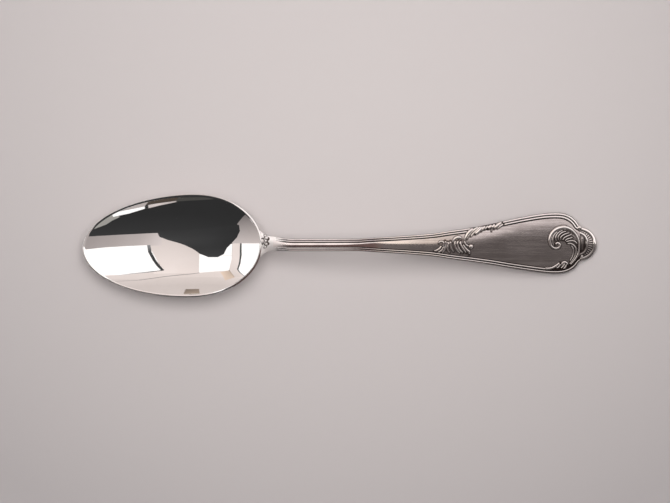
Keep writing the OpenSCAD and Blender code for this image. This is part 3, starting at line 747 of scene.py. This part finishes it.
def neckRing(t):
    f = np.concatenate([
        np.linspace(1, -1, neck["across"]), np.full(neck["down"] - 2, -1.0),
        np.linspace(-1, 1, neck["across"]), np.full(neck["down"] - 2, 1.0),
    ])
    down = np.linspace(0, 1, neck["down"])
    b = np.concatenate([np.zeros(neck["across"]), down[1:-1], np.ones(neck["across"]), down[-2:0:-1]])
    angle = f * math.radians(neck["span"])
    rimTop = widestHeight + rimLift(np.cos(angle))
    top = bowlPoint(angle, 1.0, neck["sink"], rimTop - neck["topDrop"])
    low = bowlPoint(angle, neck["lowShare"], 0.0, outsideHeight(angle, np.array(neck["lowShare"])))
    edge = bowlPoint(angle, 1.0, neck["edgeSink"], rimTop - bowl["rimThickness"])
    share, turn = b[:, None], neck["edgeShare"]
    root = np.where(share < turn, mix(top, edge, share / turn), mix(edge, low, (share - turn) / (1 - turn)))
    x = np.array(handle["neckLength"])
    endY, endZ = f * halfWidth(x) + sway(x), mix(plainHeight(x, f), underHeight(x, f), b)
    alongX = mix(root[:, 0], x, t)
    arched = plainHeight(np.maximum(0, alongX), f)
    onTop = mix(mix(root[:, 2], endZ, t), arched, t)
    below = mix(root[:, 2], endZ, 1 - (1 - t) ** neck["underFlare"])
    across = mix(root[:, 1], endY, 1 - (1 - t) ** neck["flare"])
    return np.stack([alongX, across, mix(onTop, below, ease(b * neck["sideTurn"]))], -1)


neckRings = np.stack([neckRing(t) for t in np.linspace(0, 1, neck["rows"])])
# Painted shade and tarnish round each lobe on the neck
neckMarks = clearOfRibs(neckRings[..., 0], neckRings[..., 1], neckLeaf, neck["shade"])
addRelief("neckFillet", "neck", [ringSkin(neckRings, marks=neckMarks)])
print("neck made")


# Stem and blade: one section carried along the spine, a ledge at each edge and an arched panel between

core = {
    "step": 0.24, "edgeRise": 0.17, "edgeMark": 0.2, "threadPlaces": (0.0, 1.0, 1.9),
    "panelPlaces": np.concatenate([np.linspace(1, 0.9, 7), np.linspace(0.88, 0.0, 24)]),
    "underPlaces": np.concatenate([[1.0, 0.995, 0.98, 0.95], np.linspace(0.9, 0.0, 14)]),
}
bladeRibs = crossLeaves + edgeLeaves + scrollLeaves + scrollFoot + [budStem, scrollBand, [bud, bud]]


def coreSection(x):
    inner = rail(x, 2 * threadWidth(x), 1)
    at = inner[:, 0]
    reach = inner[:, 1] - sway(at)
    f, xs = np.meshgrid(np.concatenate([core["panelPlaces"], -core["panelPlaces"][-2::-1]]), at)
    y = f * reach[:, None]
    rise = ease((1 - np.abs(f)) * reach[:, None] / core["edgeRise"])
    z = panelHeight(xs, f) - handle["ledgeStep"] * (1 - rise)
    z = mix(plainHeight(xs, np.abs(y) / halfWidth(xs)), z, grooved(xs))
    panel = np.stack([xs, y + sway(xs), z], -1)
    edges = [rail(x, way * threadWidth(x), 1)[:, None] for way in core["threadPlaces"]]
    others = [rail(x, way * threadWidth(x), -1)[:, None] for way in core["threadPlaces"][::-1]]
    low = np.concatenate([-core["underPlaces"], core["underPlaces"][-2::-1]])
    across = mix(others[-1][..., 1], edges[0][..., 1], (low + 1) / 2)
    under = np.stack([np.repeat(x[:, None], len(low), 1), across, underHeight(x[:, None], low)], -1)
    # Painted shade and tarnish on the panel beside each rib
    clear = clearOfRibs(panel[..., 0], panel[..., 1], bladeRibs, ornament["shade"])
    panelMarks = mix(core["edgeMark"], 1, mix(1, rise, grooved(xs))) * clear
    edgeMarks = np.repeat(1 - grooved(x)[:, None], len(edges), 1)
    marks = np.concatenate([edgeMarks, panelMarks, edgeMarks, np.ones(under.shape[:2])], 1)
    return np.concatenate([*edges, panel, *others, under], 1), marks


def coreSkin(start, end):
    x = np.linspace(start, end, int((end - start) / core["step"]) + 2)
    rings, marks = coreSection(x)
    return ringSkin(rings, marks=marks)


addPiece("stemShank", "stem", [coreSkin(handle["neckLength"], stemEnd)], handleSilver)
addPiece("bladePanel", "blade", [coreSkin(stemEnd, waist)], handleSilver)
print("handle made")


# Threads: half-round beads side by side on the ledge

thread = {
    "step": 0.22, "places": np.linspace(0, 1, 13), "fullness": 0.82, "lift": 0.01,
    "footPlaces": (0.97, 0.03), "sink": 0.06, "fade": 1.2, "endShares": (0.5, 0.645, 0.84),
    # Bead marks go from the outer flank to the inner; the plain side's outer flank is painted shade
    "leafed": {"base": 0.5, "tilt": 0.2, "outerCleanAndLit": 1.15, "innerCleanAndLit": 1.0},
    "plain": {"base": 0.52, "tilt": 0.04, "outerCleanAndLit": 0.3, "innerCleanAndLit": 1.2},
    "stemTarnish": 0.8, "tarnishPlaces": (22, 22),
}


# One stretch of bead: its height swells out of the neck, and over the fade at an end that is marked soft
def beadSkin(start, end, first, side, softStart=False, softEnd=False):
    x = np.linspace(start, end, int((end - start) / thread["step"]) + 2)
    w = threadWidth(x)
    swell = grooved(x)
    for soft, fromEnd in ((softStart, x - start), (softEnd, end - x)):
        if soft:
            swell = swell * np.sqrt(ease(fromEnd / thread["fade"]))
    form = thread["leafed"] if side > 0 else thread["plain"]
    tarnished = ease(x - start) * mix(thread["stemTarnish"], 1, ramp(x, *thread["tarnishPlaces"]))
    rows, marks = [], []
    for place in thread["places"]:
        bead = rail(x, (first + 0.5 + (place - 0.5) * thread["fullness"]) * w, side)
        height = math.sqrt(max(0.0, 1 - (2 * place - 1) ** 2))
        fall = form["tilt"] * (first + place - 1) * w * swell
        bead[:, 2] += handle["threadHeight"] * mix(form["base"], 1, height) * swell + fall + thread["lift"]
        rows.append(bead)
        # Tarnish low on the bead, and painted shade on the plain side's outer flank
        clean = min(1.0, height * mix(form["outerCleanAndLit"], form["innerCleanAndLit"], place))
        # Painted shade and tarnish on the bead beside the edge leaves
        aside = clearOfRibs(bead[:, 0], bead[:, 1], edgeLeaves, ornament["shade"])
        marks.append(mix(1, clean, tarnished) * aside)
    for place in thread["footPlaces"]:
        foot = rail(x, (first + place) * w, side)
        foot[:, 2] -= thread["sink"]
        rows.append(foot)
        marks.append(0 * x)
    return ringSkin(np.stack(rows, 1), marks=np.stack(marks, 1))


# The inner threads stop at the leaves, start again beyond them, and end where the curl starts
leafedFrom, leafedTo, curlAt = (stemEnd + share * handle["bladeLength"] for share in thread["endShares"])
threadStart = handle["neckLength"]
addRelief("outerThreadLeafed", "outer_thread_leafed", [beadSkin(threadStart, waist, 0, 1)])
addRelief("innerThreadLeafed", "inner_thread_leafed", [
    beadSkin(threadStart, leafedFrom, 1, 1, softEnd=True), beadSkin(leafedTo, waist, 1, 1, softStart=True),
])
addRelief("outerThreadPlain", "outer_thread_plain", [beadSkin(threadStart, waist, 0, -1)])
addRelief("innerThreadPlain", "inner_thread_plain", [beadSkin(threadStart, curlAt, 1, -1)])
print("threads made")


# Shell: a bead round its edge, a finely fluted hollow inside it, and two ridges at its root

shell = {
    "widths": [
        (0, 1), (0.18, 0.945), (0.4, 0.875), (0.6, 0.77), (0.77, 0.625), (0.9, 0.45), (0.97, 0.27),
        (1, 0.06),
    ],
    "places": 1 - (1 - np.linspace(0, 1, 84)) ** 1.6, "across": 141, "edgePlaces": 80, "sink": 0.14,
    "flutes": 17, "fluteHeight": 0.12, "fluteStart": 0.05, "fluteFade": 0.08, "fluteEnd": 0.8,
    "fluteEndFade": 0.06, "beadHeight": 0.36, "beadPlace": (0.89, 0.11),
    "archPlaces": (0.42, 0.62), "archHalf": 0.08, "rootFade": (-0.03, 0.08),
    "ridgeHeight": 0.24, "ridgePlace": (0.14, 0.07), "ridgeReach": 0.5, "ridgeFade": 0.2,
    "groundMark": 0.36, "fluteMark": 0.3, "archMark": 0.8, "ridgeMark": 0.6, "underMark": 0.9,
    # The plain side's half, away from the light, is darkened as painted shade
    "shadedSideMark": 0.7, "sunPlace": (-0.25, 0.5),
    "knots": [(84.65, 4.55, 0.62), (85.3, -3.05, 0.3)], "knotLift": 0.3, "knotFlat": 0.9,
}


def halfRound(t, middle, half):
    return np.sqrt(np.clip(1 - ((t - middle) / half) ** 2, 0, 1))


def shellSection(t):
    x, t = waist + t * handle["shellLength"], t[:, None]
    root = halfWidth(np.array(waist))
    fine = np.linspace(0, 1, shell["edgePlaces"])
    edge = curveOf(shell["widths"], fine)
    f = np.linspace(1, -1, shell["across"])
    fs, xs = np.meshgrid(f, x)
    y = fs * (root * curveOf(shell["widths"], t))
    share = y / root
    turn = np.arctan2(share, t + 0.0 * y)
    reach = np.interp(np.abs(turn), np.arctan2(edge, fine)[::-1], np.hypot(edge, fine)[::-1])
    out = np.hypot(share, t) / reach
    bead = halfRound(out, *shell["beadPlace"])
    archPlace = mix(*shell["archPlaces"], np.sin(turn) ** 2)
    arch = halfRound(out, archPlace, shell["archHalf"])
    ridge = halfRound(t, *shell["ridgePlace"])
    ridge = ridge * ease((shell["ridgeReach"] - np.abs(share)) / shell["ridgeFade"])
    flutes = 0.5 + 0.5 * np.cos(turn * shell["flutes"] * 2)
    flutes = flutes * ease((out - archPlace - shell["fluteStart"]) / shell["fluteFade"])
    flutes = flutes * ease((shell["fluteEnd"] - out) / shell["fluteEndFade"])
    rise = shell["fluteHeight"] * flutes + shell["beadHeight"] * bead
    rise = (rise + shell["ridgeHeight"] * np.maximum(arch, ridge / 2)) * ramp(t, *shell["rootFade"])
    z = panelHeight(xs, fs) - handle["ledgeStep"] * np.abs(fs) - shell["sink"] + rise
    top = np.stack([xs, y + sway(xs), z], -1)
    fl, xl = np.meshgrid(-f, x)
    under = np.stack([xl, -y + sway(xl), underHeight(xl, fl)], -1)
    raised = np.maximum(arch * shell["archMark"], ridge * shell["ridgeMark"])
    marks = np.maximum(np.maximum(shell["groundMark"] + flutes * shell["fluteMark"], bead), raised)
    # Painted shade: darker over the plain side's half, lighter from the sun place on
    marks = marks * mix(shell["shadedSideMark"], 1, ramp(share, *shell["sunPlace"]))
    marks = np.concatenate([marks, np.full(fl.shape, shell["underMark"])], 1)
    return np.concatenate([top, under], 1), marks


shellRings, shellMarks = shellSection(shell["places"])
knots = [
    ballSkin((x, y, ledgeHeight(x) + shell["knotLift"]), r, shell["knotFlat"]) for x, y, r in shell["knots"]
]
addRelief("flutedShell", "end_shell", [ringSkin(shellRings, marks=shellMarks)] + knots)
print("shell made")


# Studio: the floor and a lamp light the spoon, and cards overhead are what its polish shows

studio = {
    "cameraHeight": 4.007, "focusDistance": 4.0, "viewWidth": 0.17842, "viewCentre": (-0.001265, -0.001546),
    "clip": (0.01, 20),
    # A painted pool of light on the paper: bright at its middle, painted shade out at its reach
    "floorSize": 4.0, "paintedLightMiddle": (0.0, 0.055, 0.0), "paintedLightReach": 0.146, "floorRoughness": 0.85,
    "floorBright": (0.7, 0.646, 0.64), "floorPaintedShade": (0.462, 0.428, 0.43),
    "skyColour": (1.0, 0.985, 0.98), "skyStrength": 0.22,
    "roomDark": (0.045, 0.04, 0.04), "roomBright": (0.72, 0.66, 0.64), "roomRange": (-0.25, 0.35),
    "keyEnergy": 10.2, "keyColour": (1.0, 0.98, 0.97), "keyPlace": (-0.05, 0.22, 1.1), "keySize": 0.85,
    "domeMiddle": (-0.045, 0, 0), "cardSteps": 12,
}


def makePaper():  # pale paper, with a painted pool of light falling off evenly from one bright place
    material, tree = newMaterial("paperTable")
    shader = tree.nodes["Principled BSDF"].inputs
    shader["Roughness"].default_value = studio["floorRoughness"]
    away = addNode(tree, "VectorMath")
    away.operation = "DISTANCE"
    away.inputs[1].default_value = studio["paintedLightMiddle"]
    feed(tree, away.inputs[0], addPlace(tree))
    share = addMath(tree, "DIVIDE", away.outputs["Value"], studio["paintedLightReach"], clamp=True)
    share = addMath(tree, "MULTIPLY", share, share)
    feed(tree, shader["Base Color"], addBlend(tree, share, studio["floorBright"], studio["floorPaintedShade"]))
    return material


def makeCardPaint():  # each card's own colour and level are in its points
    material, tree = newMaterial("studioCard")
    tree.nodes.clear()
    glow, paint = addNode(tree, "Emission"), addNode(tree, "Attribute")
    paint.attribute_name = "glow"
    feed(tree, glow.inputs["Color"], paint.outputs["Color"])
    feed(tree, addNode(tree, "OutputMaterial").inputs["Surface"], glow.outputs[0])
    return material


half = studio["floorSize"] / 2
square = [(-half, -half, 0), (half, -half, 0), (half, half, 0), (-half, half, 0)]
addMesh("tableTop", square, [(0, 1, 2, 3)], makePaper())
cardPaint = makeCardPaint()


# A card spans from one side of places to the other side, which comes back. The places are degrees to the
# right and up from straight above on a dome, or millimetres in plan for a card held flat over the handle
def addCard(name, outline, colour, levels, distance, held=False):
    corners = np.asarray(outline, float)
    tint = np.asarray(colour, float) * (np.ones(len(corners)) * levels)[:, None]
    sideLength, steps = len(corners) // 2, studio["cardSteps"]
    t = alongPath(sideLength, steps)
    k = np.minimum(t.astype(int), sideLength - 2)
    u = (t - k)[:, None]
    table = np.concatenate([corners, tint], 1)
    sides = [mix(side[k], side[k + 1], u) for side in (table[:sideLength], table[:sideLength - 1:-1])]
    over = np.linspace(0, 1, steps + 1)[None, :, None]
    spread = mix(sides[0][:, None], sides[1][:, None], over).reshape(-1, 5)
    if held:
        points = np.concatenate([spread[:, :2] * mm, np.full((len(spread), 1), distance)], 1)
    else:
        fall = np.radians(np.linalg.norm(spread[:, :2], axis=1))
        turn = np.arctan2(spread[:, 1], spread[:, 0])
        points = np.stack([np.sin(fall) * np.cos(turn), np.sin(fall) * np.sin(turn), np.cos(fall)], -1)
        points = points * distance + np.array(studio["domeMiddle"])
    a = (np.arange(len(t) - 1)[:, None] * (steps + 1) + np.arange(steps)).reshape(-1)
    faces = np.stack([a, a + 1, a + steps + 2, a + steps + 1], -1).tolist()
    card = addMesh(name, points, faces, cardPaint)
    glow = np.concatenate([spread[:, 2:], np.ones((len(points), 1))], 1)
    card.data.attributes.new("glow", "FLOAT_COLOR", "POINT").data.foreach_set("color", glow.reshape(-1))
    card.visible_camera = card.visible_diffuse = card.visible_shadow = False


white, pink, grey, brown = (1.0, 0.99, 0.985), (1.0, 0.895, 0.86), (1.0, 0.9, 0.885), (1.0, 0.8, 0.66)
black, moss = (0.96, 0.97, 1.0), (1.0, 0.98, 0.93)
cards = [
    ("ceilingFar", [(-75, 74), (75, 74), (60, 130), (-60, 130)], pink, (0.68, 0.68, 0.72, 0.72), 2.0),
    ("ceilingMiddle", [(-75, 62), (75, 62), (75, 75), (-75, 75)], pink, (0.8, 0.76, 0.68, 0.7), 1.98),
    ("ceilingNear", [(-75, 45), (60, 45), (70, 63), (-75, 63)], pink, (0.9, 0.86, 0.8, 0.84), 1.96),
    ("cornice", [(-9, 55), (2.5, 58), (8, 60.3), (16.4, 65.4), (16, 66.2), (7.6, 61.2), (2, 59),
     (-9, 55.8)], grey, 0.36, 1.5),
    ("corniceFar", [(16.4, 65.4), (27, 67), (27, 68), (16.4, 66.2)], grey, (0.36, 0.7, 0.7, 0.36), 1.5),
    ("lampBox", [(-8.5, 82), (-0.5, 82), (0, 88), (-2, 96), (-8, 96), (-9, 90)],
     brown, (0.3, 0.22, 0.3, 0.5, 0.6, 0.4), 1.5),
    ("wallMiddle", [(-12, -32), (20, -32), (12, 55), (-11, 56)], pink, (0.62, 0.7, 0.96, 0.88), 1.94),
    ("wallRight", [(12, -30), (20, -29), (40, -26), (75, -22), (80, 5), (40, 1), (20, -2), (12, -2)],
     grey, (0.66, 0.48, 0.37, 0.34, 0.38, 0.4, 0.54, 0.76), 1.92),
    ("windowRight", [(16.8, -3.2), (24, -2.4), (32, -1), (40, 2.4), (75, 14), (62, 62), (23, 55.5),
     (9.6, 49.5)], white, 1.25, 1.75),
    ("windowRightEdge", [(15.9, -3.4), (15.1, 11), (12.9, 28), (10.7, 40), (8.6, 49.3), (9.8, 49.3),
     (12, 40), (14.1, 28), (16.3, 11), (17.1, -3.4)],
     black, (0.3, 0.08, 0.05, 0.05, 0.05, 0.05, 0.05, 0.05, 0.08, 0.3), 1.6),
    ("windowRightTop", [(9, 48.5), (14, 50.7), (19.3, 53), (24, 56), (24, 56.6), (19, 54), (13.6, 52),
     (9, 49.7)], black, (0.05, 0.2, 0.5, 0.7, 0.7, 0.5, 0.2, 0.05), 1.58),
    ("windowMiddle", [(-50, -2), (-48.6, 30), (-44.5, 50.4), (-8.4, 55.4), (-8.4, 35), (-8.8, 0)],
     white, 1.2, 1.75),
    ("windowBar", [(-50, 21.2), (-36, 21.6), (-36, 22.2), (-50, 21.8)], grey, 0.78, 1.6),
    ("wallLeft", [(-59.4, -3.3), (-57.8, 30), (-54, 48), (-61, 60), (-50, 62), (-44, 51), (-49.4, 25),
     (-50.2, -3.3)], pink, (0.84, 0.92, 0.86, 0.84, 0.74, 0.8, 0.9, 0.88), 1.7),
    ("wallLeftTop", [(-43, 50.5), (-46, 54), (-50, 62), (-38, 68), (-36, 60), (-33, 54)],
     brown, (0.66, 0.6, 0.72, 0.8, 0.86, 0.9), 1.66),
    ("wallLeftDark", [(-43.4, 49.4), (-45.2, 53.6), (-48.6, 61.5), (-50, 61.5), (-46.2, 53.2),
     (-44.6, 49.2)], brown, (0.25, 0.5, 0.6, 0.6, 0.5, 0.25), 1.64),
    ("windowLeft", [(-60, -3.3), (-60.3, 12), (-58.5, 30), (-54.5, 48), (-61, 59), (-90, 70), (-90, 48),
     (-95, 30), (-100, 12), (-100, -2)], white, 1.2, 1.75),
    ("windowLeftEdge", [(-61.2, -3.4), (-61, 20), (-58.8, 36), (-55.4, 48), (-53.8, 48), (-57, 36),
     (-59, 20), (-59.4, -3.4)], black, 0.07, 1.5),
    ("windowLeftTop", [(-53.8, 47.8), (-56.2, 53.6), (-61.4, 60.2), (-62, 59.4), (-57.2, 53),
     (-55.2, 47.4)], black, (0.06, 0.2, 0.5, 0.5, 0.2, 0.06), 1.48),
    ("sideLeft", [(-90, -66), (-50, -58), (-48, -3.2), (-100, -2)], grey, (0.12, 0.17, 0.62, 0.64), 1.85),
    ("shadeCard", [(14, -32), (13, -20), (10, -13), (5, -5), (-1, 5), (-9, 18), (-19, 25), (-31, 25),
     (-39, 18.5), (-43, 6), (-49, -4), (-55, -15), (-58, -28), (-56, -40)],
     black,
     (0.043, 0.052, 0.058, 0.055, 0.045, 0.05, 0.06, 0.06, 0.05, 0.04, 0.035, 0.035, 0.032, 0.035), 1.4),
    ("shadeCardLow", [(-56, -36), (-53.7, -41.6), (-57.4, -50.6), (-60.2, -56.2), (-66, -62), (-85, -100),
     (75, -100), (75, -66), (75, -55), (75, -44), (75, -34), (75, -21)],
     black, (0.035, 0.032, 0.03, 0.03, 0.03, 0.03, 0.03, 0.03, 0.035, 0.04, 0.045, 0.05), 1.45),
    ("horizon", [(-36, -81.8), (-23, -85.6), (-12, -85), (1, -84.4), (7, -83.4), (8, -110), (0, -110),
     (-12, -110), (-24, -110), (-40, -110)], moss, 0.07, 1.42),
    ("stripEnd", [(36.5, -39.8), (31.5, -47.7), (28.9, -55.1), (26.1, -60.8), (27, -72), (31, -63.5),
     (34.8, -54), (36.9, -41)], moss, (0.44, 0.36, 0.36, 0.4, 0.36, 0.36, 0.36, 0.4), 1.24),
    ("stripLight", [(28.3, -61.5), (22.6, -66.4), (17, -73.7), (16.9, -77.2), (24, -71.8), (28.4, -68)],
     white, 1.15, 1.2),
    ("stripPale", [(25.5, -71.4), (17, -77.1), (15.5, -84), (22.6, -79)], grey, 0.5, 1.22),
    ("stripLine", [(26, -71), (22.4, -77.6), (16.6, -84), (10.2, -88.4), (10.2, -89.6), (16.8, -85.6),
     (23.4, -79.4), (27, -72)], white, (1.1, 0.95, 0.7, 0.35, 0.35, 0.7, 0.95, 1.1), 1.2),
    ("stripStart", [(15.8, -74.2), (12.4, -78), (7, -82.6), (7, -84.4), (12.3, -81.6), (15.7, -79.4)],
     grey, (0.62, 0.72, 0.5, 0.5, 0.72, 0.66), 1.2),
    ("stripBrown", [(16.4, -79.8), (12.3, -81.8), (7, -84.4), (6, -92), (12, -90), (16.6, -85)],
     brown, 0.08, 1.26),
]

umber, dusk, cream, blush = (0.12, 0.078, 0.072), (0.145, 0.132, 0.128), (1, 0.9, 0.8), (1.05, 0.99, 0.975)
shadeEdge = [(-30, -2), (-8, 0), (0, 6), (4, 14), (8, 24), (12, 22), (16, 10), (20, 5.5), (32, 3.5),
             (40, 3.5), (50, 5.5), (64, 9.5), (100, 11.5)]
heldCards = [  # a colour for each corner: thirteen along the shade's edge, then thirteen back
    ("heldShade", shadeEdge + [(x, -40) for x, y in shadeEdge[::-1]],
     [umber] * 6 + [dusk] * 14 + [umber] * 6, 1.0, 0.036),
    ("heldLight", shadeEdge + [(x, 60) for x, y in shadeEdge[::-1]],
     [blush] * 6 + [cream] * 4 + [blush] * 16, 1.0, 0.0361),
]


def makeWorld():  # soft light for the floor, and a plain room, bright to one side, for the polish
    world = bpy.data.worlds.new("softRoom")
    bpy.context.scene.world = world
    world.use_nodes = True
    tree = world.node_tree
    tree.nodes.clear()
    plain, polish = addNode(tree, "Background"), addNode(tree, "Background")
    feed(tree, plain.inputs["Color"], studio["skyColour"])
    feed(tree, plain.inputs["Strength"], studio["skyStrength"])
    split = addNode(tree, "SeparateXYZ")
    feed(tree, split.inputs[0], addNode(tree, "TexCoord").outputs["Generated"])
    bright = addRange(tree, split.outputs["Y"], *studio["roomRange"])
    feed(tree, polish.inputs["Color"], addBlend(tree, bright, studio["roomDark"], studio["roomBright"]))
    choose = addNode(tree, "MixShader")
    sources = addNode(tree, "LightPath").outputs["Is Glossy Ray"], plain.outputs[0], polish.outputs[0]
    for socket, source in zip(choose.inputs, sources):
        feed(tree, socket, source)
    feed(tree, addNode(tree, "OutputWorld").inputs["Surface"], choose.outputs[0])


def addKeyLamp():  # turned to the frame's origin
    data = bpy.data.lights.new("keySoftbox", "AREA")
    data.shape, data.size, data.energy = "SQUARE", studio["keySize"], studio["keyEnergy"]
    data.color = studio["keyColour"]
    lamp = addObject("keySoftbox", data)
    x, y, z = studio["keyPlace"]
    lamp.location = (x, y, z)
    lamp.rotation_euler = (math.atan2(math.hypot(x, y), z), 0, math.atan2(-x, y) + math.pi)
    lamp.visible_glossy = False


def addCamera():
    data = bpy.data.cameras.new("overhead")
    camera = addObject("overhead", data)
    camera.location = (*studio["viewCentre"], studio["cameraHeight"])
    data.lens = data.sensor_width * studio["focusDistance"] / studio["viewWidth"]
    data.clip_start, data.clip_end = studio["clip"]
    bpy.context.scene.camera = camera


for card in cards:
    addCard(*card)
for card in heldCards:
    addCard(*card, held=True)
makeWorld()
addKeyLamp()
addCamera()
bpy.context.scene.view_settings.view_transform = "Standard"
print("studio made")
